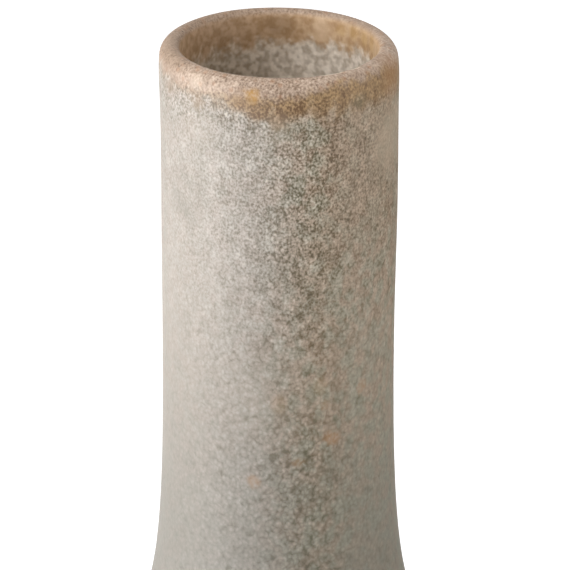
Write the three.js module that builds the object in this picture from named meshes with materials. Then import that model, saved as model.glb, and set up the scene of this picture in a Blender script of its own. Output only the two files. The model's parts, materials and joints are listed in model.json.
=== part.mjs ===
// A long-necked celadon bottle vase, thrown in sections that are luted together with slip, then glazed.
//
// Millimetres, +Z up, origin at the centre of the foot where it meets the table.
// The vase is a body of revolution. Its finished outside runs from the lip down the neck, out over the
// shoulder, round the belly and in to the foot. Every piece takes its outline from that one line, moved
// inwards by the thickness of the glaze and of the wall, so the pieces stay nested when a size changes.
import * as THREE from "three";

// Overall form, measured over the glaze
const height = 295; // table to the top of the lip
const neckRadius = 22.91; // at the waist of the neck
const waistDrop = 54.3; // from the top of the lip down to the waist of the neck
const neckSwell = 0.28; // pulls the neck outwards between the lip and the waist
const shoulderRadius = 42; // where the hollow of the neck turns into the round of the body
const shoulderHeight = 156;
const shoulderSlope = 50; // degrees from upright at that turn
const bellyRadius = 76; // the widest part
const bellyHeight = 84;
const footRadius = 38; // where the body meets the foot ring
const footHeight = 10;
const footSlope = 55; // degrees from upright where the body reaches the foot
const footSplay = 0.9; // how far the foot ring widens towards the table

// Lip, a rounded bead whose crest lies nearer the inside
const lipRadius = 22.87; // at the side of the lip
const lipOuterRound = 2.6; // from the crest out to the side
const lipOuterDrop = 3.0; // from the crest down to the side
const lipInnerDrop = 1.7; // from the crest down to the bore

// Thickness of the whole wall, clay and glaze together
const neckWall = 4.0;
const bellyWall = 5.6;
const footWall = 8.0;
const floorDip = 1.2; // how far the floor sinks below the point where the wall reaches it

// Foot ring
const footRingWidth = 6.2; // clay, at the table
const footRingLean = 1.2; // how far its inside leans in towards the base
const footBevel = 1.1;

// Coats of glaze, and how closely one piece lies to the next
const outerCoat = 0.6;
const innerCoat = 0.5;
const lipCoat = 0.28; // glaze drains off the lip and lies thin there
const baseCoat = 0.5;
const lipBandOutside = 6; // how far the thin glaze of the lip reaches down the outside
const lipBandInside = 5;
const coatGrowth = 14; // the length over which a coat reaches its full thickness
const glazeStop = 2.6; // the coats stop this far above the table
const bond = 0.02;

// Luting joints: a slanting seam filled with slip, which shows as a low ridge inside
const slip = 2.0;
const slipRidge = 0.45;
const seamSlant = 3.0; // how much further down the wall the seam lies on the inside
const neckJointRise = 12; // from the turn of the shoulder up to the seam of the neck
const footSlip = 1.2;

// Roundness of the curves, as a share of the span that each crosses
const waistReach = 0.8;
const shoulderPull = 0.242;
const shoulderPush = 0.24;
const bellyRiseReach = 0.485;
const bellyFallReach = 0.515;
const footPull = 0.29;

// Fineness of the model
const segments = 40;
const neckStep = 23;
const flareStep = 11;
const bodyStep = 16;
const insideStep = 22;
const lipSteps = 4;
const floorSteps = 3;
const rollSteps = 3;

const point = (r, z) => new THREE.Vector2(r, z);
const smooth = (x) => THREE.MathUtils.smoothstep(x, 0, 1);
const mix = THREE.MathUtils.lerp;
const reversed = (samples) => [...samples].reverse();

// The direction that runs down and out, at an angle from upright
function slopeDirection(degrees) {
  const angle = THREE.MathUtils.degToRad(degrees);
  return point(Math.sin(angle), -Math.cos(angle));
}

const lipSide = point(lipRadius, height - lipOuterDrop);
const waist = point(neckRadius, height - waistDrop);
const shoulder = point(shoulderRadius, shoulderHeight);
const belly = point(bellyRadius, bellyHeight);
const foot = point(footRadius, footHeight);
const shoulderLine = slopeDirection(shoulderSlope);
const footLine = slopeDirection(footSlope).multiply(point(-1, 1));

function neckCurve() {
  const span = lipSide.y - waist.y;
  const upper = point(lipSide.x + neckSwell, lipSide.y - span / 4);
  const lower = point(waist.x, waist.y + span / 3);
  return new THREE.CubicBezierCurve(lipSide, upper, lower, waist);
}

function flareCurve() {
  const span = waist.y - shoulder.y;
  const upper = point(waist.x, waist.y - span * waistReach);
  const lower = shoulder.clone().addScaledVector(shoulderLine, -span * shoulderPull);
  return new THREE.CubicBezierCurve(waist, upper, lower, shoulder);
}

function upperBodyCurve() {
  const upper = shoulder.clone().addScaledVector(shoulderLine, shoulder.distanceTo(belly) * shoulderPush);
  const lower = point(belly.x, mix(belly.y, shoulder.y, bellyRiseReach));
  return new THREE.CubicBezierCurve(shoulder, upper, lower, belly);
}

function lowerBodyCurve() {
  const upper = point(belly.x, mix(belly.y, foot.y, bellyFallReach));
  const lower = foot.clone().addScaledVector(footLine, -belly.distanceTo(foot) * footPull);
  return new THREE.CubicBezierCurve(belly, upper, lower, foot);
}

// The finished outside. A place on it is named by its distance along it from the side of the lip.
const outside = new THREE.CurvePath();
for (const curve of [neckCurve(), flareCurve(), upperBodyCurve(), lowerBodyCurve()]) outside.add(curve);
const [waistAt, shoulderAt, bellyAt, footAt] = outside.getCurveLengths();
const neckJointAt = shoulderAt - neckJointRise;

// Thickness of a coat at a distance past the lip's band of thin glaze
const coatPast = (band, coat) => mix(lipCoat, coat, smooth(band / coatGrowth));

function wallAt(along) {
  if (along < shoulderAt) return mix(neckWall, bellyWall, smooth((along - waistAt) / (shoulderAt - waistAt)));
  return mix(bellyWall, footWall, smooth((along - bellyAt) / (footAt - bellyAt)));
}

// A sample is a point of the finished surface, with the direction out of the clay there and the
// thickness of the glaze. This one lies on a curve that runs down the outside.
function sample(curve, share, coat) {
  const place = curve.getPoint(share);
  const tangent = curve.getTangent(share);
  return { r: place.x, z: place.y, out: point(-tangent.y, tangent.x), coat };
}

function shift(samples, distanceOf) {
  return samples.map((s) => ({ ...s, r: s.r + s.out.x * distanceOf(s), z: s.z + s.out.y * distanceOf(s) }));
}

// Turns samples of a curve that runs down the inside, so that out of the clay is towards the axis
const facingIn = (samples) => samples.map((s) => ({ ...s, out: s.out.clone().negate() }));

// Samples of the outside from one distance to another
function run(from, to, step = to - from) {
  const steps = Math.ceil((to - from) / step);
  const found = [];
  for (let i = 0; i <= steps; i++) {
    const along = mix(from, to, i / steps);
    const coat = coatPast(along - lipBandOutside, outerCoat);
    found.push({ ...sample(outside, along / footAt, coat), along });
  }
  return found;
}

// The same stretch of wall on its inside
function runInside(from, to, step) {
  const through = shift(run(from, to, step), (s) => -wallAt(s.along));
  return facingIn(through).map((s) => ({ ...s, coat: coatPast(s.along - lipBandInside, innerCoat) }));
}

// A seam on the inside, where the slip stands up in a ridge
function runRidge(from) {
  const [upper, middle, lower] = runInside(from + bond, from + slip - bond, slip / 2);
  return [upper, ...shift([middle], () => slipRidge), lower];
}

// One side of the lip, from the crest down
function lipSideFrom(round, drop, turn) {
  const top = Math.PI / 2;
  const side = top - turn * top;
  const crestRadius = lipRadius - lipOuterRound;
  const bead = new THREE.EllipseCurve(crestRadius, height - drop, round, drop, top, side, turn > 0);
  return Array.from({ length: lipSteps + 1 }, (_, i) => sample(bead, i / lipSteps, lipCoat));
}
const lipOutside = lipSideFrom(lipOuterRound, lipOuterDrop, 1);
const lipInside = facingIn(lipSideFrom(neckWall - lipOuterRound, lipInnerDrop, -1)).slice(1);

// The outside of each thrown section and seam. The neck starts where the thin glaze of the lip ends.
const outer = {
  neck: [...run(lipBandOutside, waistAt, neckStep), ...run(waistAt, neckJointAt, flareStep).slice(1)],
  neckSeam: run(neckJointAt + bond, neckJointAt + slip - bond),
  shoulder: run(neckJointAt + slip, bellyAt, bodyStep),
  bellySeam: run(bellyAt + bond, bellyAt + slip - bond),
  bowl: run(bellyAt + slip, footAt, bodyStep),
};

// Where the body meets the foot ring its coat turns a corner, with a mitre
const footCorner = outer.bowl.at(-1);
footCorner.out.add(point(1, 0)).divideScalar(footCorner.out.x);

// The inside, where each seam lies further down
const neckJointInside = neckJointAt + seamSlant;
const bellyJointInside = bellyAt + seamSlant;
const inner = {
  neck: [
    ...runInside(lipBandInside, waistAt, neckStep),
    ...runInside(waistAt, neckJointInside, insideStep).slice(1),
  ],
  neckSeam: runRidge(neckJointInside),
  shoulder: runInside(neckJointInside + slip, bellyJointInside, insideStep),
  bellySeam: runRidge(bellyJointInside),
  bowl: runInside(bellyJointInside + slip, footAt, insideStep),
  floor: floorRun(runInside(bellyJointInside, footAt).at(-1)),
};

// The floor, from the foot of the wall to the axis
function floorRun(edge) {
  const start = point(edge.r, edge.z);
  const turn = start.clone().addScaledVector(footLine, floorDip / -footLine.y);
  const curve = new THREE.QuadraticBezierCurve(start, turn, point(0, turn.y));
  const found = Array.from({ length: floorSteps }, (_, i) => sample(curve, (i + 1) / floorSteps, innerCoat));
  found.at(-1).out.set(0, -1);
  return facingIn(found);
}

// The foot ring: its outside lies under the outer coat and leans out towards the table
const footSideAt = (z) => mix(footRadius + footSplay, footRadius, z / footHeight);
const ringTop = footHeight - footSlip;
const ringOuter = (z) => footSideAt(z) - outerCoat - bond;
const ringInner = (z) => ringOuter(0) - footRingWidth - footRingLean * Math.min(z / ringTop, 1);

// Lines under the glaze: the back of the coat, and the clay below it
const underCoat = (samples) => shift(samples, (s) => -s.coat);
const clay = (samples) => shift(samples, (s) => -s.coat - bond);

// Outlines run up on the outside and down on the inside, and so does the exposed line of a coat
const section = (outerLine, innerLine) => [...reversed(clay(outerLine)), ...clay(innerLine)];
const coatOver = (line) => [...reversed(underCoat(line)), ...line];

// The lower half of the body with its base
function bowlOutline() {
  const base = [
    { r: 0, z: footHeight },
    { r: ringOuter(footHeight), z: footHeight },
  ];
  return [...base, ...section(outer.bowl, [...inner.bowl, ...inner.floor])];
}

// Slip between the base and the foot ring
function footSlipOutline() {
  const top = footHeight - bond;
  const bottom = ringTop + bond;
  return [
    { r: ringInner(bottom), z: bottom },
    { r: ringOuter(bottom), z: bottom },
    { r: ringOuter(top), z: top },
    { r: ringInner(top), z: top },
  ];
}

// Bare of glaze where it stands on the table
function footRingOutline() {
  return [
    { r: ringInner(0) + footBevel, z: 0 },
    { r: ringOuter(0) - footBevel, z: 0 },
    { r: ringOuter(footBevel), z: footBevel },
    { r: ringOuter(ringTop), z: ringTop },
    { r: ringInner(ringTop), z: ringTop },
    { r: ringInner(footBevel), z: footBevel },
  ];
}

// The thin glaze over the lip and a little way down both sides
function lipCoatOutline() {
  const outerEnd = run(0, lipBandOutside - bond).at(-1);
  const innerEnd = runInside(0, lipBandInside - bond).at(-1);
  return coatOver([outerEnd, ...reversed(lipOutside), ...lipInside, innerEnd]);
}

// The rolled edge where a coat stops on the foot ring, from its inner side to its outer side
function roll(r, coat) {
  const found = [];
  for (let i = 1; i < rollSteps; i++) {
    const angle = (Math.PI * i) / rollSteps;
    found.push({ r: r + (coat / 2) * (1 - Math.cos(angle)), z: glazeStop - (coat / 2) * Math.sin(angle) });
  }
  return found;
}

function outerCoatOutline() {
  const edge = { r: footSideAt(glazeStop), z: glazeStop, out: point(1, 0), coat: outerCoat };
  const line = [edge, ...reversed([...outer.neck, ...outer.shoulder, ...outer.bowl])];
  return [...reversed(underCoat(line)), ...roll(edge.r - outerCoat, outerCoat), ...line];
}

// Poured in, so that it lines the neck, the body and the floor
function innerCoatOutline() {
  const neckRidge = inner.neckSeam[1];
  const bellyRidge = inner.bellySeam[1];
  const body = [...inner.shoulder, bellyRidge, ...inner.bowl, ...inner.floor];
  return coatOver([...inner.neck, neckRidge, ...body]);
}

// Under the base and down the inside of the foot ring
function baseCoatOutline() {
  const top = footHeight - bond;
  const sideAt = (z) => ringInner(z) - bond;
  return [
    { r: 0, z: top - baseCoat },
    { r: sideAt(top) - baseCoat, z: top - baseCoat },
    { r: sideAt(glazeStop) - baseCoat, z: glazeStop },
    ...roll(sideAt(glazeStop) - baseCoat, baseCoat),
    { r: sideAt(glazeStop), z: glazeStop },
    { r: sideAt(ringTop), z: ringTop },
    { r: sideAt(top), z: top },
    { r: 0, z: top },
  ];
}

const finishes = {
  stoneware: { color: 0x9c8b74, roughness: 0.85, metalness: 0 },
  slip: { color: 0xa99a84, roughness: 0.9, metalness: 0 },
  burntClay: { color: 0x94623f, roughness: 0.85, metalness: 0 },
  celadon: { color: 0xa39b89, roughness: 0.38, metalness: 0 },
  ironGlaze: { color: 0xa58566, roughness: 0.5, metalness: 0 },
  shadedCeladon: { color: 0x8b7d68, roughness: 0.42, metalness: 0 },
};

// A solid of revolution. An outline that starts on the axis also ends there, and any other closes.
function piece(name, outline, finish) {
  const closed = outline[0].r === 0 ? outline : [...outline, outline[0]];
  const profile = closed.map((s) => point(s.r, s.z));
  const geometry = new THREE.LatheGeometry(profile, segments).rotateX(Math.PI / 2);
  const mesh = new THREE.Mesh(geometry, new THREE.MeshStandardMaterial(finishes[finish]));
  mesh.name = name;
  return mesh;
}

const vase = new THREE.Group();
vase.name = "celadon_vase";
vase.add(
  piece("neck", section([...lipOutside, ...outer.neck], [...lipInside, ...inner.neck]), "stoneware"),
  piece("neck_luting_slip", section(outer.neckSeam, inner.neckSeam), "slip"),
  piece("shoulder", section(outer.shoulder, inner.shoulder), "stoneware"),
  piece("belly_luting_slip", section(outer.bellySeam, inner.bellySeam), "slip"),
  piece("bowl", bowlOutline(), "stoneware"),
  piece("foot_luting_slip", footSlipOutline(), "slip"),
  piece("foot_ring", footRingOutline(), "burntClay"),
  piece("outer_glaze", outerCoatOutline(), "celadon"),
  piece("lip_glaze", lipCoatOutline(), "ironGlaze"),
  piece("inner_glaze", innerCoatOutline(), "shadedCeladon"),
  piece("base_glaze", baseCoatOutline(), "celadon"),
);

export default vase;
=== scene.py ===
import json
import math

import bpy
import numpy as np
from mathutils import Euler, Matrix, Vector


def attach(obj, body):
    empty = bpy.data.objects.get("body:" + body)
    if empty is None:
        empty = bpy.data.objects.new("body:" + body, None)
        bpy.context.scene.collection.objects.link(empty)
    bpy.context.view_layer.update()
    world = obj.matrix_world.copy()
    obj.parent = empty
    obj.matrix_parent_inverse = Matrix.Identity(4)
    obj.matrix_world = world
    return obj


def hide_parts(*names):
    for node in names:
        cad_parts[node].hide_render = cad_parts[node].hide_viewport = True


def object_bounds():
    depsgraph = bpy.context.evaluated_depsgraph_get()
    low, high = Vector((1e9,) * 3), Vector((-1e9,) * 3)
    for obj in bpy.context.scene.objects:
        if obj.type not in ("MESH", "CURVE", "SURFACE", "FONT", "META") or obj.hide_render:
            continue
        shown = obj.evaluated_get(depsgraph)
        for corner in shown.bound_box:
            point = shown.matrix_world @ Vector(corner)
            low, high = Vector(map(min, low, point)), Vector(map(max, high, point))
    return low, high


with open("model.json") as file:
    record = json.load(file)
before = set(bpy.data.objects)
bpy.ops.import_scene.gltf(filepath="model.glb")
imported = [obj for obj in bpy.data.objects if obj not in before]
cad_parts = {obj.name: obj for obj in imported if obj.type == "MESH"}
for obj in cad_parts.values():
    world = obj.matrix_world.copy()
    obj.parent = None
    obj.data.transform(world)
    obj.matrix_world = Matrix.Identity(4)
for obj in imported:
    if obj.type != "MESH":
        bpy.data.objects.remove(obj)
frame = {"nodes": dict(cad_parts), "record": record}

# A tall celadon bottle vase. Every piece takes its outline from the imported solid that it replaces,
# smoothed and turned finely, and all of them share one slight unevenness of the thrown pot.
# Lengths are in millimetres until a mesh, a lamp or the camera is made.
MM = 0.001
CAD_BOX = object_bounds()
HEIGHT = CAD_BOX[1].z / MM

# Fineness of the meshes
SEGMENTS = 240
LIP_SEGMENTS = 480
ROW_STEP = 2.0
TURN_PER_ROW = math.radians(3)

# What counts as a corner of an outline: a sharp turn, or a lesser one where a short edge meets a
# long one. Above the crease angle a finished outline isn't shaded smooth.
SHARP_TURN = math.radians(30)
LESSER_TURN = math.radians(15)
UNEQUAL_EDGES = 8
CREASE = math.radians(28)

# Tolerances: the decimals that places are read to, what lies on the axis and on the half-plane of
# the outlines, and the lengths that stand for none in a division
PLACE_DECIMALS = 3
ON_AXIS = 0.001
ON_PLANE = 0.002
NO_LENGTH = 1e-9
NO_RADIUS = 1e-6

# Gaps between the solids: a coat and the clay under it, and two coats where they meet
COVERED_GAP = 0.1
MEETING_GAP = 0.05
GLAZED_IN_ORDER = ("outer_glaze", "lip_glaze", "inner_glaze")

# Softening of the corners that show
CORNER_ROUND = {"outer_glaze": 1.6, "inner_glaze": 5.0, "foot_ring": 0.5, "base_glaze": 0.7}
ROUND_SHARE = 0.45
ROUND_STEPS = 6
FOOT_TOP = 9.0
SMOOTHED_FROM = 18.0

# Unevenness of the pot: ripples of throwing, a bow of the neck, and a tilt and a sway of the rim
RIPPLE = 0.02
RIPPLE_LENGTHS = (8.5, 13.7, 29.0)
RIPPLE_TWIST = 0.35
RIPPLE_FULL_RADIUS = 15
BOW = 0.33
BOW_DROP = 23
BOW_SPREAD = 28
RIM_TILT = 0.23
RIM_TILT_REACH = 24
LIP_SWAY = 0.11
LIP_SWAY_REACH = 7
LIP_SWAY_WAVES = 3
LIP_SWAY_MEAN = 0.6
LIP_SWAY_CHANGE = 0.4
LIP_SWAY_CHANGE_WAVES = 5
LIP_SWAY_CHANGE_START = 0.8

# A worn stretch of the lip's inner edge, seen right of the middle from the front
LIP_CHIPS = (
    # bearing from the front in degrees, half width in mm, depth in mm
    (17.0, 1.2, 0.14),
    (30.0, 2.2, 0.30),
    (45.0, 1.3, 0.24),
)
CHIP_RADIUS = 19.7
CHIP_DROP = 0.3
CHIP_SPREAD = 0.55
CHIP_SQUARENESS = 4
CHIP_OUTWARD = 0.4

# Camera, fitted to the photograph of the mouth and neck
PHOTO_SIZE = 570
FOCAL_PIXELS = 3144.5
SENSOR = 36
CAMERA_DISTANCE = 618.3
CAMERA_PITCH = math.radians(23.6)
AIM_DROP = 50.7
AIM_ASIDE = 1.37
CAMERA_CLIP = (10, 20000)


# Outlines

def outline_of(node):
    """The outline of a node in the half-plane y = 0, x >= 0, as (radius, height) in order round the
    solid, anticlockwise. It runs from axis to axis where the solid reaches the axis."""
    mesh = frame["nodes"][node].data
    places = np.empty(len(mesh.vertices) * 3)
    mesh.vertices.foreach_get("co", places)
    places = np.round(places.reshape(-1, 3) / MM, PLACE_DECIMALS) + 0.0
    on_plane = (np.abs(places[:, 1]) < ON_PLANE) & (places[:, 0] > -ON_PLANE)
    links = {}
    for edge in mesh.edges:
        a, b = edge.vertices
        if on_plane[a] and on_plane[b]:
            start, end = tuple(places[a, [0, 2]]), tuple(places[b, [0, 2]])
            if start != end:
                links.setdefault(start, set()).add(end)
                links.setdefault(end, set()).add(start)
    ends = sorted(point for point in links if len(links[point]) == 1)
    here, walk, seen = (ends or sorted(links))[0], [], set()
    while here is not None:
        walk.append(here)
        seen.add(here)
        here = next((point for point in sorted(links[here]) if point not in seen), None)
    line = np.array(walk)
    radius, height = line.T
    area = np.sum(radius * np.roll(height, -1) - np.roll(radius, -1) * height)
    return line if area > 0 else line[::-1].copy()


def is_closed(line):
    return line[0, 0] > ON_AXIS


def turns_of(line):
    """How far the line turns at each point, as if it were closed."""
    before, after = line - np.roll(line, 1, 0), np.roll(line, -1, 0) - line
    in_length, out_length = np.hypot(*before.T), np.hypot(*after.T)
    cosine = np.sum(before * after, 1) / np.maximum(in_length * out_length, NO_LENGTH)
    return np.arccos(np.clip(cosine, -1, 1)), in_length, out_length


def corners_of(line, closed):
    """Which points are corners. The ends of an open line count as corners."""
    turn, in_length, out_length = turns_of(line)
    unequal = np.maximum(in_length, out_length) > UNEQUAL_EDGES * np.minimum(in_length, out_length)
    sharp = (turn > SHARP_TURN) | (unequal & (turn > LESSER_TURN))
    if not closed:
        sharp[[0, -1]] = True
    return sharp


def nearest(points, line):
    """For each point, the closest place on a line: how far away, on which edge, how far along."""
    start, run = line[:-1], np.diff(line, axis=0)
    along = np.einsum("pej,ej->pe", points[:, None] - start, run) / np.sum(run * run, 1)
    along = np.clip(along, 0, 1)
    away = np.linalg.norm(points[:, None] - (start + along[..., None] * run), axis=2)
    edge = away.argmin(1)
    pick = np.arange(len(points)), edge
    return away[pick], edge, along[pick]


def looped(line):
    return np.vstack([line, line[:1]]) if is_closed(line) else line


def smooth_tangents(line):
    """Tangents for a curve through the points whose curvature is continuous."""
    chord = np.hypot(*np.diff(line, axis=0).T)
    slope = np.diff(line, axis=0) / chord[:, None]
    count = len(line)
    if count == 2:
        return np.vstack([slope, slope])
    system = np.zeros((count, count))
    wanted = np.zeros((count, 2))
    system[0, :2] = 2, 1
    system[-1, -2:] = 1, 2
    wanted[0], wanted[-1] = 3 * slope[0], 3 * slope[-1]
    for i in range(1, count - 1):
        system[i, i - 1:i + 2] = chord[i], 2 * (chord[i - 1] + chord[i]), chord[i - 1]
        wanted[i] = 3 * (chord[i] * slope[i - 1] + chord[i - 1] * slope[i])
    return np.linalg.solve(system, wanted)


class Smoothing:
    """Moves a point as the nearest stretch of a faceted line moves when that line becomes a smooth
    curve."""

    def __init__(self, line):
        self.line = line
        self.tangents = np.empty((len(line) - 1, 2, 2))
        corners = np.flatnonzero(corners_of(line, closed=False))
        for a, b in zip(corners[:-1], corners[1:]):
            found = smooth_tangents(line[a:b + 1])
            self.tangents[a:b, 0] = found[:-1]
            self.tangents[a:b, 1] = found[1:]

    def move(self, points):
        away, edge, t = nearest(points, self.line)
        t = t[:, None]
        a, b = self.line[edge], self.line[edge + 1]
        length = np.hypot(*(b - a).T)[:, None]
        u, v = self.tangents[edge, 0] * length, self.tangents[edge, 1] * length
        straight = a + (b - a) * t
        curved = (
            a * (1 + 2 * t) * (1 - t) ** 2 + u * t * (1 - t) ** 2
            + b * t * t * (3 - 2 * t) + v * t * t * (t - 1)
        )
        return away, curved - straight


def smooth_step(value):
    value = np.clip(value, 0, 1)
    return value * value * (3 - 2 * value)


outlines = {name: outline_of(name) for name in frame["nodes"]}

# Two coats meet on one line, with no gap between them
for upper, lower in zip(GLAZED_IN_ORDER[:-1], GLAZED_IN_ORDER[1:]):
    for i, point in enumerate(outlines[upper]):
        apart = np.hypot(*(outlines[lower] - point).T)
        if apart.min() < MEETING_GAP:
            shared = (point + outlines[lower][apart.argmin()]) / 2
            outlines[upper][i] = outlines[lower][apart.argmin()] = shared


def shows(name):
    """Which points of an outline lie on no other piece."""
    points = outlines[name]
    away = [nearest(points, looped(line))[0] for other, line in outlines.items() if other != name]
    return np.min(away, axis=0) > COVERED_GAP


def shown_run(name):
    """The longest stretch of an outline that shows, with the covered points at its ends."""
    line, open_air = outlines[name], shows(name)
    if is_closed(line):
        turn = int(np.flatnonzero(~open_air)[0])
        line, open_air = np.roll(line, -turn, 0), np.roll(open_air, -turn)
        line, open_air = np.vstack([line, line[:1]]), np.append(open_air, False)
    best, start = (0, 0), None
    for i, here in enumerate(np.append(open_air, False)):
        if here and start is None:
            start = i
        if not here and start is not None:
            best = max(best, (i - start, start))
            start = None
    return line[max(best[1] - 1, 0):best[1] + best[0] + 1]


faceted = np.vstack([shown_run(name) for name in GLAZED_IN_ORDER])
apart = np.hypot(*np.diff(faceted, axis=0).T)
faceted = faceted[np.append(True, apart > MEETING_GAP)]
top = faceted[:, 1].argmax()
outside, inside = Smoothing(faceted[:top + 1]), Smoothing(faceted[top:])
outside_to_inside = Smoothing(faceted)
outside.tangents = outside_to_inside.tangents[:top]
inside.tangents = outside_to_inside.tangents[top:]


def smoothed(points):
    """The shared smoothing of every outline. Between the outer and the inner face it blends the
    two, so no layer of the wall crosses another. The foot stays as it is."""
    out_away, out_move = outside.move(points)
    in_away, in_move = inside.move(points)
    share = (out_away / np.maximum(out_away + in_away, NO_LENGTH))[:, None]
    reach = smooth_step((points[:, 1] - FOOT_TOP) / (SMOOTHED_FROM - FOOT_TOP))[:, None]
    return points + (out_move * (1 - share) + in_move * share) * reach


def finished_outline(name):
    """A piece's outline with its showing corners rounded, divided into rows and smoothed, and
    which of its points are creases."""
    line, closed = outlines[name], is_closed(outlines[name])
    corner, open_air = corners_of(line, closed), shows(name)
    turn = turns_of(line)[0]
    turn[corner] = 0
    points, bends = [], []
    for i, point in enumerate(line):
        before, after = line[i - 1] - point, line[(i + 1) % len(line)] - point
        on_axis = point[0] < ON_AXIS
        if corner[i] and open_air[i] and not on_axis and name in CORNER_ROUND:
            reach = min(CORNER_ROUND[name], ROUND_SHARE * min(np.hypot(*before), np.hypot(*after)))
            start = point + before / np.hypot(*before) * reach
            end = point + after / np.hypot(*after) * reach
            for t in np.linspace(0, 1, ROUND_STEPS + 1):
                points.append(start * (1 - t) ** 2 + 2 * point * t * (1 - t) + end * t * t)
                bends.append(0)
        else:
            points.append(point)
            bends.append(turn[i])
    points, bends = np.array(points), np.array(bends)
    rows = []
    for i in range(len(points) if closed else len(points) - 1):
        j = (i + 1) % len(points)
        count = max(
            math.ceil(np.hypot(*(points[j] - points[i])) / ROW_STEP),
            math.ceil((bends[i] + bends[j]) / 2 / TURN_PER_ROW),
        )
        rows += [points[i] + (points[j] - points[i]) * k / count for k in range(count)]
    if not closed:
        rows.append(points[-1])
    rows = smoothed(np.array(rows))
    if not closed:
        rows[[0, -1], 0] = 0
    crease = turns_of(rows)[0] > CREASE
    return rows, crease


# Meshes

def chip_shift(points, bearing):
    """How deep the worn stretch of the lip's inner edge is at each point."""
    radius = np.hypot(points[:, 0], points[:, 1])
    drop = HEIGHT - points[:, 2]
    near = np.exp(-((radius - CHIP_RADIUS) ** 2 + (drop - CHIP_DROP) ** 2) / CHIP_SPREAD ** 2)
    depth = np.zeros(len(points))
    for degrees, half_width, deep in LIP_CHIPS:
        aside = (bearing - math.radians(degrees)) * CHIP_RADIUS
        depth += deep * np.exp(-(aside / half_width) ** CHIP_SQUARENESS)
    return depth * near


def uneven(points):
    """The slight unevenness of the thrown and fired pot, the same for every layer of its wall."""
    points = points.copy()
    x, y, z = points.T
    drop = HEIGHT - z
    radius = np.maximum(np.hypot(x, y), NO_RADIUS)
    turn = np.arctan2(y, x)
    bearing = np.arctan2(x, -y)
    above_foot = smooth_step((z - FOOT_TOP) / (SMOOTHED_FROM - FOOT_TOP))

    waves = sum(
        np.sin(2 * math.pi * drop / length + RIPPLE_TWIST * turn + k)
        for k, length in enumerate(RIPPLE_LENGTHS)
    )
    inward = RIPPLE * (0.5 + waves / (2 * len(RIPPLE_LENGTHS))) * above_foot
    inward = inward * np.clip(radius / RIPPLE_FULL_RADIUS, 0, 1)
    depth = chip_shift(points, bearing)
    scale = 1 - (inward - CHIP_OUTWARD * depth) / radius
    points[:, 0] = x * scale + BOW * np.exp(-((drop - BOW_DROP) / BOW_SPREAD) ** 2)
    points[:, 1] = y * scale

    tilt = RIM_TILT * (1 + x / radius) * smooth_step(1 - drop / RIM_TILT_REACH)
    change = np.sin(LIP_SWAY_CHANGE_WAVES * turn + LIP_SWAY_CHANGE_START)
    sway = LIP_SWAY * (1 - np.cos(LIP_SWAY_WAVES * (turn - math.pi)))
    sway = sway * (LIP_SWAY_MEAN + LIP_SWAY_CHANGE * change) / 2
    points[:, 2] = z - tilt - sway * smooth_step(1 - drop / LIP_SWAY_REACH) - depth
    return points


def added(name, data):
    """A new object of the scene."""
    thing = bpy.data.objects.new(name, data)
    bpy.context.scene.collection.objects.link(thing)
    return thing


def turned(name, rows, crease, segments, material):
    """A solid of revolution from an anticlockwise outline, shaded smooth except at its creases."""
    angles = np.arange(segments) * 2 * math.pi / segments
    cosine, sine = np.cos(angles), np.sin(angles)
    on_axis = rows[:, 0] < ON_AXIS
    places, first = [], []
    count = 0
    for (radius, height), pole in zip(rows, on_axis):
        first.append(count)
        if pole:
            places.append(np.array([[0, 0, height]]))
        else:
            level = np.full(segments, height)
            places.append(np.column_stack([radius * cosine, radius * sine, level]))
        count += len(places[-1])
    closed = not on_axis[0]
    here = np.arange(segments)
    there = (here + 1) % segments
    faces = []
    for i in range(len(rows) if closed else len(rows) - 1):
        j = (i + 1) % len(rows)
        a, b = first[i], first[j]
        if on_axis[i]:
            faces += [(a, b + q, b + p) for p, q in zip(here, there)]
        elif on_axis[j]:
            faces += [(a + p, a + q, b) for p, q in zip(here, there)]
        else:
            faces += [(a + p, a + q, b + q, b + p) for p, q in zip(here, there)]
    mesh = bpy.data.meshes.new(name)
    places_m = uneven(np.vstack(places)) * MM
    mesh.from_pydata(places_m.tolist(), [], [tuple(map(int, face)) for face in faces])
    mesh.update()

    ring_of = np.repeat(np.arange(len(rows)), [len(part) for part in places])
    ends = np.empty(len(mesh.edges) * 2, dtype=np.int64)
    mesh.edges.foreach_get("vertices", ends)
    ends = ends.reshape(-1, 2)
    same_ring = ring_of[ends[:, 0]] == ring_of[ends[:, 1]]
    sharp = same_ring & crease[ring_of[ends[:, 0]]]
    mesh.attributes.new("sharp_edge", "BOOLEAN", "EDGE").data.foreach_set("value", sharp)
    mesh.materials.append(material)
    return added(name, mesh)


# Materials

def written(red, green, blue):
    """The linear colour that a shader takes, from one as it looks on a screen, 0 to 255."""
    levels = (value / 255 for value in (red, green, blue))
    return tuple(v / 12.92 if v <= 0.04045 else ((v + 0.055) / 1.055) ** 2.4 for v in levels)


def grey(level):
    """A grey as a shader takes it."""
    return level, level, level, 1


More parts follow.
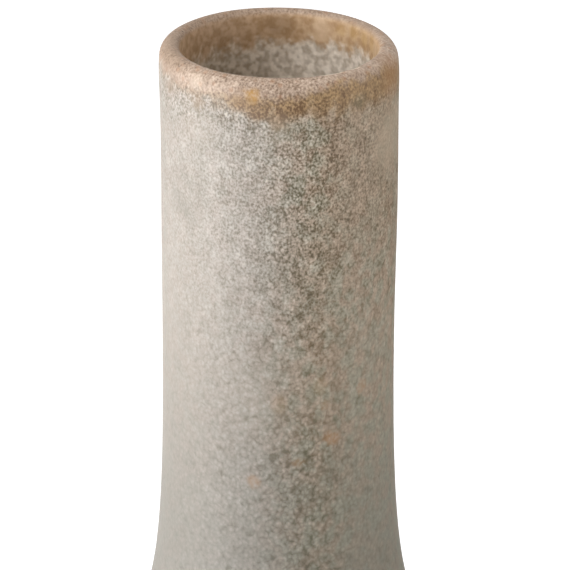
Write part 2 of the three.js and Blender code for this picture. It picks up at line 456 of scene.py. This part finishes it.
class Nodes:
    """A node tree whose nodes are written as expressions, from sockets and numbers to an output
    socket. A colour is a socket, or three numbers as it looks on a screen."""

    def __init__(self, tree):
        self.nodes, self.links = tree.nodes, tree.links

    def feed(self, socket, value):
        if isinstance(value, bpy.types.NodeSocket):
            self.links.new(value, socket)
        elif socket.type == "RGBA":
            socket.default_value = (*written(*value), 1)
        else:
            socket.default_value = value

    def put(self, kind, inputs, output=0, **settings):
        node = self.nodes.new(kind)
        for key, value in settings.items():
            setattr(node, key, value)
        for key, value in inputs.items():
            self.feed(node.inputs[key], value)
        return node.outputs[output]

    def math(self, operation, a, b=0.0, c=0.0):
        inputs = {0: a, 1: b}
        if operation == "MULTIPLY_ADD":
            inputs[2] = c
        return self.put("ShaderNodeMath", inputs, operation=operation)

    def vector(self, operation, a, b=(0, 0, 0), output=0):
        return self.put("ShaderNodeVectorMath", {0: a, 1: b}, output, operation=operation)

    def times(self, *factors):
        product = factors[0]
        for factor in factors[1:]:
            product = self.math("MULTIPLY", product, factor)
        return product

    def span(self, value, low, high, to_low=0.0, to_high=1.0):
        """Runs smoothly from to_low at low to to_high at high, and stays level beyond them."""
        inputs = {0: value, 1: low, 2: high, 3: to_low, 4: to_high}
        return self.put("ShaderNodeMapRange", inputs, interpolation_type="SMOOTHSTEP")

    def seen(self):
        """1 where a thing is seen, also in gloss or through glass, and 0 where it lights others."""
        camera, gloss, through = (
            self.put("ShaderNodeLightPath", {}, f"Is {kind} Ray")
            for kind in ("Camera", "Glossy", "Transmission")
        )
        return self.math("MAXIMUM", self.math("MAXIMUM", camera, gloss), through)


class Paint(Nodes):
    """A material of the pot, with the place on the pot in millimetres and degrees."""

    def __init__(self, name):
        self.material = bpy.data.materials.new(name)
        self.material.use_nodes = True
        super().__init__(self.material.node_tree)
        self.shader = self.nodes["Principled BSDF"]
        place = self.put("ShaderNodeTexCoord", {}, "Object")
        self.place = self.vector("MULTIPLY", place, (1 / MM,) * 3)
        self.x, self.y, self.z = (
            self.put("ShaderNodeSeparateXYZ", {0: self.place}, axis) for axis in range(3)
        )
        self.drop = self.math("SUBTRACT", HEIGHT, self.z)
        square = self.math("ADD", self.times(self.x, self.x), self.times(self.y, self.y))
        self.radius = self.math("SQRT", square)
        turn = self.math("ARCTAN2", self.x, self.times(self.y, -1.0))
        self.bearing = self.times(turn, 180 / math.pi)

    def centred(self, value, width):
        """Turns 0 to 1 into minus half the width to plus half the width."""
        return self.math("MULTIPLY_ADD", value, width, -width / 2)

    def bearing_span(self, rise, full, last, end, outside=0.0, inside=1.0):
        """inside between the bearings full and last, in degrees from the front, and outside before
        rise and after end."""
        rising, falling = self.span(self.bearing, rise, full), self.span(self.bearing, end, last)
        share = self.math("MINIMUM", rising, falling)
        return self.math("MULTIPLY_ADD", share, inside - outside, outside)

    def mix(self, share, a, b):
        """Two colours mixed."""
        return self.put("ShaderNodeMix", {0: share, 6: a, 7: b}, 2, data_type="RGBA")

    def blend(self, share, a, b):
        """Two numbers mixed."""
        return self.put("ShaderNodeMix", {0: share, 2: a, 3: b})

    def place_at(self, bearing, drop, radius, reach, wander):
        """A soft spot round one place of the pot, given by its bearing from the front."""
        turn = math.radians(bearing)
        centre = (radius * math.sin(turn), -radius * math.cos(turn), HEIGHT - drop)
        away = self.vector("DISTANCE", self.place, centre, "Value")
        return self.span(self.math("ADD", away, wander), reach, reach * MARK_CORE)

    def shifted(self, seed, tall):
        """The place to look up in a texture: somewhere of its own, and drawn out upward."""
        squeezed = self.vector("MULTIPLY", self.place, (1, 1, 1 / tall))
        return self.vector("ADD", squeezed, tuple(step * seed for step in SEED_STEPS))

    def noise(self, size, detail, seed, tall=1.0, curl=0.0):
        inputs = {"Vector": self.shifted(seed, tall), "Scale": 1 / size, "Detail": detail}
        return self.put("ShaderNodeTexNoise", {**inputs, "Distortion": curl}, "Fac")

    def cells(self, size, seed, tall=1.0):
        """How far the nearest of scattered points is, in cells, and a random number for each."""
        inputs = {"Vector": self.shifted(seed, tall), "Scale": 1 / size}
        distance = self.put("ShaderNodeTexVoronoi", inputs, "Distance")
        lot = self.put("ShaderNodeSeparateColor", {0: distance.node.outputs["Color"]}, 0)
        return distance, lot

    def spots(self, size, reach, share, seed, tall=1.0):
        """Scattered soft spots, 1 in the middle, 0 between them. share of the points have one."""
        distance, lot = self.cells(size, seed, tall)
        chosen = self.span(lot, share, share - SPOT_CHOICE_EDGE)
        return self.times(self.span(distance, reach, reach * SPOT_CORE), chosen)

    def surface(self, colour, roughness, relief, relief_height):
        self.feed(self.shader.inputs["Base Color"], colour)
        self.feed(self.shader.inputs["Roughness"], roughness)
        inputs = {"Height": relief, "Strength": 1.0, "Distance": relief_height * MM}
        self.feed(self.shader.inputs["Normal"], self.put("ShaderNodeBump", inputs))
        return self.material


# How far each seed moves a texture, how much of a spot is its core, and how softly spots are chosen
SEED_STEPS = (31.7, -17.3, 11.9)
MARK_CORE = 0.3
SPOT_CORE = 0.4
SPOT_CHOICE_EDGE = 0.05

# The mottling of the glaze: the textures that it is mixed from. The reach of spots is in sizes.
FINE = {"size": 0.44, "detail": 1, "seed": 4, "tall": 1.15}
COARSE = {"size": 1.3, "detail": 2, "seed": 3, "tall": 1.1, "curl": 1.0}
DOTS = {"size": 0.85, "seed": 3, "tall": 1.1}
PATCHES = {"size": 2.6, "detail": 2, "seed": 1, "tall": 1.3}
CLOUDS = {"size": 17, "detail": 1, "seed": 2}
HUES = {"size": 2.7, "detail": 2, "seed": 5, "tall": 1.2}
BLOTCHES = {"size": 1.5, "detail": 1, "seed": 9}
TAN_SPOTS = {"size": 9, "reach": 0.24, "share": 0.35, "seed": 6, "tall": 1.3}
RUST_SPOTS = {"size": 1.5, "reach": 0.45, "share": 0.5, "seed": 7}
PITS = {"size": 1.25, "reach": 0.17, "share": 0.55, "seed": 8}

# How it is mixed from them, how strong it is and how far it moves the borders of colours
DOT_LEVEL = 0.86
DOT_FALL = -0.8
DOT_SHARE = 0.4
COARSE_STRETCH = 1.35
PATCH_SHARE = 0.25
RIGHT_COARSER = 0.14
INSIDE_COARSER = 0.9
CONTRAST = 3.2
FLECK_SPREAD = 0.15
LIP_CALM = 0.95
BODY_STRENGTH = 0.75
PATCH_WANDER = 7.0
COARSE_WANDER = 3.0
BUFF_WANDER = 0.6
MARK_WANDER = 0.35
INSIDE_MARK_WANDER = 0.4

# Between which values of a texture or of the mottling a change of colour runs
BRIGHT_SHADES = (0.9, 1.6)
DEEP_SHADES = (0.1, -0.5)
HUE_CHANGE = (0.38, 0.62)
CLOUD_CHANGE = (0.42, 0.60)
BLOTCH_CHANGE = (0.34, 0.66)

# How the glaze changes down the pot: between two drops, and from one value to another if given
COARSENESS = (15, 82, 0.20, 0.85)
INSIDE_COARSENESS = (1.5, 4.5)
STRENGTH = (20, 70, 1.3, 0.58)
FRONT_STRONGER = (40, 95, 0.45, 0.52)
RIGHT_WEAKER = (30, 80, 0.16, 0.28)
CALM_ENDS = (4, 14)
BODY_BEGINS = (112, 140)
BROWN_DROPS = (48, 22)
# Darker and greener lower down: partly the glaze, partly painted shade where the light falls off
DULL_SHADE_DROPS = (45, 110, 0.0, 0.44)
IRON_DROPS = (9.5, 4.6)
BUFF_DROPS = (4.4, 2.0)
PIT_DROPS = (30, 3)
ROLLED_SHADE_DROPS = (2, 1)
INSIDE_BAND_DROPS = (9.2, 5.4)
INSIDE_BEGINS = (0.5, 1.6)
LIP_ROUGHER = (18, 6, 0.0, 0.09)
LOWER_ROUGHER = (35, 75, 0.0, 0.05)
RELIEF_DROPS = (30, 90, 1.0, 0.5)

# How it changes round the pot: the bearings where a change begins, is full, is last full and ends,
# and its value outside and inside them if given
RIGHT_SIDE = (15, 45, 120, 160)
FRONT_SIDE = (-64, -24, 4, 44)
LEFT_CALM = (-125, -85, -45, 20, 1.0, 0.5)
# The greyer, paler left side is painted sheen of the lamps on the left
GREY_SHEEN_SIDE = (-190, -140, -20, 25, 0.0, 0.75)
BROWN_SIDE = (10, 40, 55, 95)
TAN_SIDES = (-85, -60, 60, 85, 0.35, 0.2)
# Painted shade lower down: all round, and most on the right
DULL_SHADE_SIDE = (20, 45, 110, 160, 1.0, 1.2)
IRON_SIDE = (-75, -20, 45, 95, 0.4, 1.0)
BUFF_NARROWER = (5, 30, 60, 85, 0.0, 1.5)
BUFF_WIDER = (-75, -50, -30, -8, 0.0, 0.5)
BUFF_BROWNER = ((-80, -50, 0, 30, 0.0, 0.16), (-200, -150, -66, -44, 0.0, 0.48))
ROLLED_SHADE_SIDE = (-50, -25, 35, 60, 0.0, 0.65)
WORN_AND_GLINT_STRETCHES = ((22, 26, 35, 38, 0.0, 0.7), (41, 43, 47, 50, 0.0, 0.6))

# How the iron band changes from one bearing to another
IRON_NARROWER = (-8, -40, 0.0, 2.4)

# How it changes across the pot: by radius, by height, by x to the right and by y to the back
INNER_RADII = (21.2, 20.2)
INNER_HEIGHTS = (100, 170)
ROLLED_SHADE_RADII = ((19.5, 19.8), (20.4, 20.1))
WORN_AND_GLINT_RADII = ((20.1, 20.3), (20.8, 20.55))
BUFF_BROWNER_BEHIND = (-4, 12, 0.0, 0.36)
# Painted light inside the mouth: lighter to the right, where the lamps on the left reach the right
# inner wall
INSIDE_LIT_RIGHTWARD = (-15, 15)
INSIDE_BAND_NARROWER = (3, 15, 0.0, 1.2)
INSIDE_DIMMER = (8, 18, 0.0, 0.16)

# Colours as they look on a screen. A pair is for the ground and for the flecks on it.
GREENISH = (79, 70, 38), (161, 154, 137)
BROWNISH = (89, 67, 35), (169, 151, 132)
CLOUDED_GROUND = (80, 65, 34)
# Greyer, paler colours for the left: painted sheen, the whitish veil of the lamps on the left
GREYER_SHEEN = (81, 73, 53), (171, 164, 158)
BROWN = (83, 59, 27), (162, 141, 117)
IRON = (84, 52, 2), (154, 123, 79)
BUFF = (131, 109, 90), (189, 168, 150)
BRIGHT, DEEP = (200, 190, 173), (48, 38, 16)
BUFF_BRIGHT, BUFF_DEEP = (214, 198, 180), (84, 58, 34)
TAN = (164, 124, 78)
# Dark grey-green lower down: partly a greener glaze, partly painted shade
DULL_SHADE = (67, 72, 63)
RUST = (160, 106, 60)
BROWNED = (116, 92, 68)
# Dark line of the lip's inner roll-over: partly thin glaze, partly painted shade
ROLLED_SHADE = (92, 82, 60)
# Pale strokes on the worn stretches: partly a worn edge, partly painted highlights on the chips
WORN_AND_GLINT = (216, 198, 174)
PIT = (64, 44, 28)
# The inside is painted lighter than the outside and lighter to the right: painted light on the right
# inner wall, painted shade on the left one
INSIDE_GREY_SHADED_LEFT = (147, 130, 109), (207, 193, 174)
INSIDE_GREY_LIT_RIGHT = (176, 163, 147), (230, 219, 205)
INSIDE_BAND_SHADED_LEFT = (140, 110, 76), (174, 144, 114)
INSIDE_BAND_LIT_RIGHT = (166, 132, 94), (196, 166, 132)
DIMMED = (110, 84, 56)

# How much of a colour shows at most
BROWN_SHARE = 0.6
BRIGHT_SHARE, DEEP_SHARE = 0.8, 0.7
BUFF_BRIGHT_SHARE, BUFF_DEEP_SHARE = 0.6, 0.6
IRON_SHARE = 0.9
RUST_SHARE = 0.3
PIT_SHARE = 0.6
INSIDE_FLECK_SHARE = 0.25
MARK_ON_FLECKS = 0.5

# Stains on the outside where the photograph shows them, most of them of iron. Among them are a
# painted highlight on the lip's bead, a painted highlight of sheen, painted shade on the left of
# the neck and a painted reflection on its right edge.
STAINS_AND_PAINTED_LIGHT = (
    # bearing from the front in degrees, drop, radius, reach, share, colour
    (-12.2, 2.9, 23.6, 2.1, 0.8, (168, 122, 30)),
    (-12.9, 3.7, 23.6, 0.9, 0.7, (88, 60, 12)),
    (-19.0, 3.8, 23.4, 2.4, 0.5, (116, 86, 50)),
    (-41.0, 5.6, 22.9, 2.8, 0.55, (116, 90, 58)),
    (-63.0, 5.0, 23.2, 3.4, 0.5, (116, 94, 70)),
    # painted highlight on the lip's bead, where the lamps on the left catch it
    (-42.0, 2.0, 23.4, 2.8, 0.4, (212, 194, 174)),
    # painted highlight: the sheen of the lamps on the left, higher up the neck
    (-41.0, 10.5, 22.8, 6.0, 0.1, (196, 184, 168)),
    # painted shade on the left of the neck
    (-50.0, 26.0, 22.8, 8.0, 0.4, (92, 86, 70)),
    # painted reflection along the right edge of the neck
    (68.0, 16.0, 22.8, 10.0, 0.35, (178, 162, 140)),
    (0.0, 64.0, 22.8, 14.0, 0.1, (178, 168, 150)),
    (1.0, 10.0, 22.8, 4.5, 0.12, (184, 170, 148)),
    (41.0, 5.6, 23.7, 2.6, 0.7, (78, 68, 38)),
    (70.0, 3.5, 23.6, 6.5, 0.6, (138, 96, 52)),
    (22.5, 66.8, 23.2, 1.9, 0.3, (154, 112, 72)),
    (26.7, 74.1, 23.2, 2.3, 0.45, (154, 112, 72)),
    (9.9, 78.2, 23.2, 1.6, 0.3, (154, 112, 72)),
    (-11.9, 82.6, 23.2, 1.9, 0.35, (162, 122, 84)),
    (45.0, 64.9, 23.2, 2.0, 0.3, (154, 112, 72)),
)
# Stains inside the mouth; the first four are an ochre streak of painted light on the band of the
# right inner wall
INSIDE_MARK_RADIUS = 19.3
INSIDE_STAINS_AND_PAINTED_LIGHT = (
    # bearing from the front in degrees, drop, reach, share, colour
    # painted light: an ochre streak on the lit band of the right inner wall
    (139.0, 2.8, 1.7, 0.3, (188, 152, 92)),
    (129.0, 2.7, 1.9, 0.4, (188, 152, 92)),
    (119.0, 2.6, 2.0, 0.45, (188, 152, 92)),
    (108.0, 2.5, 1.9, 0.4, (188, 152, 92)),
    (179.0, 3.0, 4.2, 0.28, (100, 74, 46)),
    (153.0, 3.6, 3.0, 0.5, (214, 186, 156)),
)

# Gloss and relief of the glaze
GLAZE_ROUGHNESS = (0.42, 0.58, 0.48, 0.55)
FLECK_RELIEF = 0.7
COARSE_RELIEF = 0.6
PIT_RELIEF = 1.2
GLAZE_RELIEF = 0.035

# Bare clay and slip
CLAY_CLOUDS = {"size": 9, "detail": 3, "seed": 11}
CLAY_GRIT = {"size": 0.6, "detail": 2, "seed": 12}
CLAY_SPECKS = {"size": 1.8, "reach": 0.2, "share": 0.4, "seed": 13}
CLAY_CHANGE = (0.38, 0.62)
CLAY_SPECK = (84, 58, 40)
CLAY_SPECK_SHARE = 0.6
CLAY_ROUGHNESS = (0.4, 0.6, 0.72, 0.86)
CLAY_RELIEF = 0.08


class Mottling:
    """What the colours of a coat share: the shade at each place, 0 for the ground and 1 for the
    flecks, the brightest and deepest shades, and how far the borders of the colours wander."""

    def __init__(self, p):
        self.inner = p.times(p.span(p.radius, *INNER_RADII), p.span(p.z, *INNER_HEIGHTS))
        patch, right = p.noise(**PATCHES), p.bearing_span(*RIGHT_SIDE)
        dots = p.math("MULTIPLY_ADD", p.cells(**DOTS)[0], DOT_FALL, DOT_LEVEL)
        self.coarse = p.blend(DOT_SHARE, p.noise(**COARSE), dots)
        coarser = p.math("MULTIPLY_ADD", right, RIGHT_COARSER, p.span(p.drop, *COARSENESS))
        inside = p.times(self.inner, p.span(p.drop, *INSIDE_COARSENESS), INSIDE_COARSER)
        coarser = p.math("MAXIMUM", coarser, inside)
        stretched = p.math("MULTIPLY_ADD", self.coarse, COARSE_STRETCH, (1 - COARSE_STRETCH) / 2)
        self.grain = p.blend(PATCH_SHARE, p.blend(coarser, p.noise(**FINE), stretched), patch)

        stronger = p.times(p.bearing_span(*FRONT_SIDE), p.span(p.drop, *FRONT_STRONGER))
        weaker = p.times(right, p.span(p.drop, *RIGHT_WEAKER))
        calm = p.blend(p.span(p.drop, *CALM_ENDS), LIP_CALM, p.bearing_span(*LEFT_CALM))
        strength = p.math("ADD", p.span(p.drop, *STRENGTH), stronger)
        strength = p.times(strength, p.math("SUBTRACT", 1.0, weaker), calm)
        strength = p.blend(p.span(p.drop, *BODY_BEGINS), strength, BODY_STRENGTH)

        deviation = p.math("SUBTRACT", self.grain, 0.5)
        self.fleck = p.span(deviation, -FLECK_SPREAD, FLECK_SPREAD)
        self.shade = p.math("MULTIPLY_ADD", deviation, p.times(strength, CONTRAST), 0.5)
        self.bright = p.span(self.shade, *BRIGHT_SHADES)
        self.deep = p.span(self.shade, *DEEP_SHADES)
        coarse_wander = p.centred(self.coarse, COARSE_WANDER)
        self.wander = p.math("ADD", p.centred(patch, PATCH_WANDER), coarse_wander)
        self.depth = p.math("ADD", p.drop, self.wander)


def wall_colour(p, m):
    """Grey-green with cream flecks, greyer and paler on the left as painted sheen, browner on the
    right under the lip, and duller and darker lower down, partly painted shade.
    """
    hue = p.span(p.noise(**HUES), *HUE_CHANGE)
    ground, cream = (p.mix(hue, a, b) for a, b in zip(GREENISH, BROWNISH))
    ground = p.mix(p.span(p.noise(**CLOUDS), *CLOUD_CHANGE), ground, CLOUDED_GROUND)
    # The left is painted greyer and paler, as painted sheen of the lamps on the left
    grey_sheen_side = p.bearing_span(*GREY_SHEEN_SIDE)
    ground, cream = p.mix(grey_sheen_side, ground, GREYER_SHEEN[0]), p.mix(grey_sheen_side, cream, GREYER_SHEEN[1])
    colour = p.mix(m.shade, ground, cream)
    brown_share = p.times(p.bearing_span(*BROWN_SIDE), p.span(m.depth, *BROWN_DROPS), BROWN_SHARE)
    colour = p.mix(brown_share, colour, p.mix(m.shade, *BROWN))
    colour = p.mix(p.times(m.bright, BRIGHT_SHARE), colour, BRIGHT)
    colour = p.mix(p.times(m.deep, DEEP_SHARE), colour, DEEP)
    colour = p.mix(p.times(p.spots(**TAN_SPOTS), p.bearing_span(*TAN_SIDES)), colour, TAN)
    # Darker lower down, most on the right: partly a greener glaze, partly painted shade
    dull_shade_share = p.times(p.span(p.drop, *DULL_SHADE_DROPS), p.bearing_span(*DULL_SHADE_SIDE))
    return p.mix(dull_shade_share, colour, DULL_SHADE)


def with_lip(p, m, colour):
    """The iron-brown band under the lip and the buff lip, over the colour of the wall."""
    iron_depth = p.math("ADD", m.depth, p.span(p.bearing, *IRON_NARROWER))
    iron_share = p.times(p.span(iron_depth, *IRON_DROPS), p.bearing_span(*IRON_SIDE), IRON_SHARE)
    colour = p.mix(iron_share, colour, p.mix(m.shade, *IRON))

    buff = p.mix(m.shade, *BUFF)
    buff = p.mix(p.times(m.bright, BUFF_BRIGHT_SHARE), buff, BUFF_BRIGHT)
    buff = p.mix(p.times(m.deep, BUFF_DEEP_SHARE), buff, BUFF_DEEP)
    buff = p.mix(p.times(p.spots(**RUST_SPOTS), RUST_SHARE), buff, RUST)
    browner = p.span(p.y, *BUFF_BROWNER_BEHIND)
    for stretch in BUFF_BROWNER:
        browner = p.math("MAXIMUM", browner, p.bearing_span(*stretch))
    buff = p.mix(browner, buff, BROWNED)
    edge = p.math("MULTIPLY_ADD", m.wander, BUFF_WANDER, p.drop)
    edge = p.math("ADD", edge, p.bearing_span(*BUFF_NARROWER))
    edge = p.math("SUBTRACT", edge, p.bearing_span(*BUFF_WIDER))
    return p.mix(p.span(edge, *BUFF_DROPS), colour, buff)


def with_marks(p, m, colour, pits):
    """Stains, among them painted highlights, painted shade and a painted reflection; the dark line
    along the lip's inner edge, partly painted shade; the worn stretches there, partly painted
    highlights; and pits.
    """
    # Stains, among them painted highlights, painted shade and a painted reflection
    for bearing, drop, radius, reach, share, stain_and_light in STAINS_AND_PAINTED_LIGHT:
        spot = p.place_at(bearing, drop, radius, reach, p.times(m.wander, MARK_WANDER))
        share_there = p.span(m.fleck, 0.0, 1.0, share, share * MARK_ON_FLECKS)
        colour = p.mix(p.times(spot, share_there), colour, stain_and_light)
    # A dark line where the lip's inner edge rolls over: partly thin glaze, partly painted shade
    # where the edge turns away from the light
    rolled_shade = p.times(*(p.span(p.radius, *radii) for radii in ROLLED_SHADE_RADII))
    rolled_shade = p.times(rolled_shade, p.span(p.drop, *ROLLED_SHADE_DROPS), p.bearing_span(*ROLLED_SHADE_SIDE))
    colour = p.mix(rolled_shade, colour, ROLLED_SHADE)
    # Pale strokes on the worn stretches of the lip's inner edge: partly worn, partly painted
    # highlights on the chips
    worn_and_glint = p.math("MAXIMUM", *(p.bearing_span(*stretch) for stretch in WORN_AND_GLINT_STRETCHES))
    worn_and_glint = p.times(worn_and_glint, *(p.span(p.radius, *radii) for radii in WORN_AND_GLINT_RADII))
    colour = p.mix(worn_and_glint, colour, WORN_AND_GLINT)
    return p.mix(p.times(pits, p.span(p.drop, *PIT_DROPS), PIT_SHARE), colour, PIT)


def inside_colour(p, m):
    """The inside of the mouth: a brown band over a grey wall, blotched, painted lighter than the
    outside and lighter still to the right, as painted light on the right inner wall and painted
    shade on the left one.
    """
    # Painted light on the right inner wall and painted shade on the left one
    lit_rightward = p.span(p.x, *INSIDE_LIT_RIGHTWARD)
    blotch = p.blend(INSIDE_FLECK_SHARE, p.span(p.noise(**BLOTCHES), *BLOTCH_CHANGE), m.fleck)
    wall = (p.mix(lit_rightward, a, b) for a, b in zip(INSIDE_GREY_SHADED_LEFT, INSIDE_GREY_LIT_RIGHT))
    band = (p.mix(lit_rightward, a, b) for a, b in zip(INSIDE_BAND_SHADED_LEFT, INSIDE_BAND_LIT_RIGHT))
    band_depth = p.math("ADD", m.depth, p.span(p.x, *INSIDE_BAND_NARROWER))
    band_share = p.span(band_depth, *INSIDE_BAND_DROPS)
    colour = p.mix(band_share, p.mix(blotch, *wall), p.mix(blotch, *band))
    # Stains, and an ochre streak of painted light on the right inner wall
    for bearing, drop, reach, share, stain_and_light in INSIDE_STAINS_AND_PAINTED_LIGHT:
        wander = p.times(m.wander, INSIDE_MARK_WANDER)
        spot = p.place_at(bearing, drop, INSIDE_MARK_RADIUS, reach, wander)
        colour = p.mix(p.times(spot, share), colour, stain_and_light)
    return p.mix(p.span(p.x, *INSIDE_DIMMER), colour, DIMMED)


def celadon(name):
    """The glaze. One formula serves every coat, so that they run into each other."""
    p = Paint(name)
    m = Mottling(p)
    pits = p.spots(**PITS)
    colour = with_marks(p, m, with_lip(p, m, wall_colour(p, m)), pits)
    inside_share = p.times(m.inner, p.span(p.drop, *INSIDE_BEGINS))
    colour = p.mix(inside_share, colour, inside_colour(p, m))
    roughness = p.math("ADD", p.span(m.grain, *GLAZE_ROUGHNESS), p.span(p.drop, *LIP_ROUGHER))
    roughness = p.math("ADD", roughness, p.span(p.drop, *LOWER_ROUGHER))
    relief = p.math("MULTIPLY_ADD", m.fleck, FLECK_RELIEF, p.times(m.coarse, COARSE_RELIEF))
    relief = p.math("SUBTRACT", relief, p.times(pits, PIT_RELIEF))
    relief = p.times(relief, p.span(p.drop, *RELIEF_DROPS))
    return p.surface(colour, roughness, relief, GLAZE_RELIEF)


def bare_clay(name, pale, dark):
    """Unglazed clay or slip: clouded, with specks and grit."""
    p = Paint(name)
    grit, speck = p.noise(**CLAY_GRIT), p.spots(**CLAY_SPECKS)
    colour = p.mix(p.span(p.noise(**CLAY_CLOUDS), *CLAY_CHANGE), dark, pale)
    colour = p.mix(p.times(speck, CLAY_SPECK_SHARE), colour, CLAY_SPECK)
    roughness, relief = p.span(grit, *CLAY_ROUGHNESS), p.math("SUBTRACT", grit, speck)
    return p.surface(colour, roughness, relief, CLAY_RELIEF)


coats = {
    "celadon_glaze": celadon("celadon_glaze"),
    "iron_lip_glaze": celadon("iron_lip_glaze"),
    "inner_glaze": celadon("inside_glaze"),
    "stoneware": bare_clay("stoneware", (172, 154, 130), (150, 132, 108)),
    "slip": bare_clay("slip", (184, 168, 146), (166, 148, 126)),
    "burnt_clay": bare_clay("burnt_clay", (168, 106, 66), (134, 80, 50)),
}

PIECES = {
    "neck": "neck_clay",
    "shoulder": "shoulder_clay",
    "bowl": "bowl_clay",
    "foot_ring": "foot_ring_clay",
    "neck_luting_slip": "neck_slip",
    "belly_luting_slip": "belly_slip",
    "foot_luting_slip": "foot_slip",
    "outer_glaze": "outside_glaze",
    "lip_glaze": "lip_glaze_roll",
    "inner_glaze": "inside_glaze",
    "base_glaze": "underfoot_glaze",
}
slots = {entry["node"]: entry["material_slot"] for entry in frame["record"]["subparts"]}
for node, name in PIECES.items():
    rows, crease = finished_outline(node)
    segments = LIP_SEGMENTS if node == "lip_glaze" else SEGMENTS
    piece = turned(name, rows, crease, segments, coats[slots[node]])
    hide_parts(node)
    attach(piece, "root")


# Floor, light and camera

# The floor glows where it is seen, less near the vase than far from it, so that the vase's shadow
# stays and the far floor is white
FLOOR_RADIUS = 3000
FLOOR_SIDES = 64
FLOOR_WHITE = 0.8
FLOOR_NEAR = 220
FLOOR_FAR = 650
FLOOR_GLOW_NEAR = 0.5
FLOOR_GLOW_FAR = 0.72

# A dark card behind on the right, which only reflections see
FLAG_SIZE = (600, 320)
FLAG_BEARING = 140
FLAG_DISTANCE = 420
FLAG_GREY = 0.2

# The world is white where it is seen, and gives less light than that
WORLD_LIGHT = 0.36
WORLD_SEEN = 1.0

LIGHT_AIM = 240
LIGHTS = (
    # name, bearing, elevation, distance, size, level, colour, gloss only
    ("high_left", -58, 52, 700, (520, 520), 5.0, (1, 1, 1), False),
    ("low_right", 68, 10, 800, (600, 420), 4.5, (1, 1, 1), False),
    ("left_fill", -75, 5, 700, (520, 520), 4.6, (1, 1, 1), False),
    ("front_card", -20, -22.5, 500, (340, 146), 9.6, (1, 0.97, 0.99), True),
    ("left_card", -60, -13, 500, (430, 205), 8.3, (1, 0.97, 0.99), True),
    ("rear_left_card", -108, -12, 500, (440, 205), 4.3, (1, 0.97, 1.0), True),
)


def toward(bearing, elevation=0):
    """The direction at a bearing from the front, positive to the right, and an elevation."""
    b, e = math.radians(bearing), math.radians(elevation)
    return Vector((math.sin(b) * math.cos(e), -math.cos(b) * math.cos(e), math.sin(e)))


def floor_material(name):
    """Pale enough to take the vase's shadow, with the glow that is only seen."""
    material = bpy.data.materials.new(name)
    material.use_nodes = True
    nodes = Nodes(material.node_tree)
    nodes.nodes.remove(nodes.nodes["Principled BSDF"])
    place = nodes.put("ShaderNodeTexCoord", {}, "Object")
    away = nodes.vector("LENGTH", place, output="Value")
    glow = nodes.span(away, FLOOR_NEAR * MM, FLOOR_FAR * MM, FLOOR_GLOW_NEAR, FLOOR_GLOW_FAR)
    emission = nodes.put("ShaderNodeEmission", {"Strength": nodes.times(nodes.seen(), glow)})
    diffuse = nodes.put("ShaderNodeBsdfDiffuse", {})
    diffuse.node.inputs["Color"].default_value = grey(FLOOR_WHITE)
    both = nodes.put("ShaderNodeAddShader", {0: diffuse, 1: emission})
    nodes.feed(nodes.nodes["Material Output"].inputs["Surface"], both)
    return material


floor_mesh = bpy.data.meshes.new("floor")
ring = [
    (FLOOR_RADIUS * MM * math.cos(a), FLOOR_RADIUS * MM * math.sin(a), 0)
    for a in np.linspace(0, 2 * math.pi, FLOOR_SIDES, endpoint=False)
]
floor_mesh.from_pydata(ring, [], [list(range(FLOOR_SIDES))])
floor_mesh.materials.append(floor_material("floor_white"))
floor = added("floor", floor_mesh)

flag_mesh = bpy.data.meshes.new("dark_card")
side, flag_top = FLAG_SIZE[0] * MM / 2, FLAG_SIZE[1] * MM
corners = [(-side, 0, 0), (side, 0, 0), (side, 0, flag_top), (-side, 0, flag_top)]
flag_mesh.from_pydata(corners, [], [(0, 1, 2, 3)])
flag_material = bpy.data.materials.new("dark_card")
flag_material.use_nodes = True
flag_shader = flag_material.node_tree.nodes["Principled BSDF"]
flag_shader.inputs["Base Color"].default_value = grey(FLAG_GREY)
flag_mesh.materials.append(flag_material)
flag = added("dark_card", flag_mesh)
flag.location = toward(FLAG_BEARING) * (FLAG_DISTANCE * MM)
flag.rotation_euler = Euler((0, 0, math.radians(FLAG_BEARING)))
flag.visible_camera = flag.visible_diffuse = False
flag.visible_shadow = flag.visible_transmission = False

world = bpy.data.worlds.new("studio")
bpy.context.scene.world = world
world.use_nodes = True
world_nodes = Nodes(world.node_tree)
background = world_nodes.nodes["Background"]
background.inputs["Color"].default_value = grey(1)
world_levels = {"Value": world_nodes.seen(), "To Min": WORLD_LIGHT, "To Max": WORLD_SEEN}
world_level = world_nodes.put("ShaderNodeMapRange", world_levels)
world_nodes.feed(background.inputs["Strength"], world_level)


def soft_light(name, bearing, elevation, distance, size, level, colour, gloss_only):
    """A rectangle of light that faces the vase. Its level is how bright its face is, where 1 is
    white."""
    data = bpy.data.lights.new(name, "AREA")
    data.shape = "RECTANGLE"
    data.size, data.size_y = (side * MM for side in size)
    data.energy = level * math.pi * data.size * data.size_y
    data.color = colour
    lamp = added(name, data)
    away = toward(bearing, elevation)
    lamp.location = (Vector((0, 0, LIGHT_AIM)) + away * distance) * MM
    lamp.rotation_euler = away.to_track_quat("Z", "Y").to_euler()
    lamp.visible_camera = False
    lamp.visible_diffuse = not gloss_only


for light in LIGHTS:
    soft_light(*light)

camera_data = bpy.data.cameras.new("camera")
camera_data.sensor_width = SENSOR
camera_data.lens = FOCAL_PIXELS * SENSOR / PHOTO_SIZE
camera_data.clip_start, camera_data.clip_end = (reach * MM for reach in CAMERA_CLIP)
camera = added("camera", camera_data)
aim = Vector((AIM_ASIDE, 0, HEIGHT - AIM_DROP))
back = Vector((0, -math.cos(CAMERA_PITCH), math.sin(CAMERA_PITCH))) * CAMERA_DISTANCE
camera.location = (aim + back) * MM
camera.rotation_euler = Euler((math.pi / 2 - CAMERA_PITCH, 0, 0))
bpy.context.scene.camera = camera
bpy.context.scene.view_settings.view_transform = "Standard"
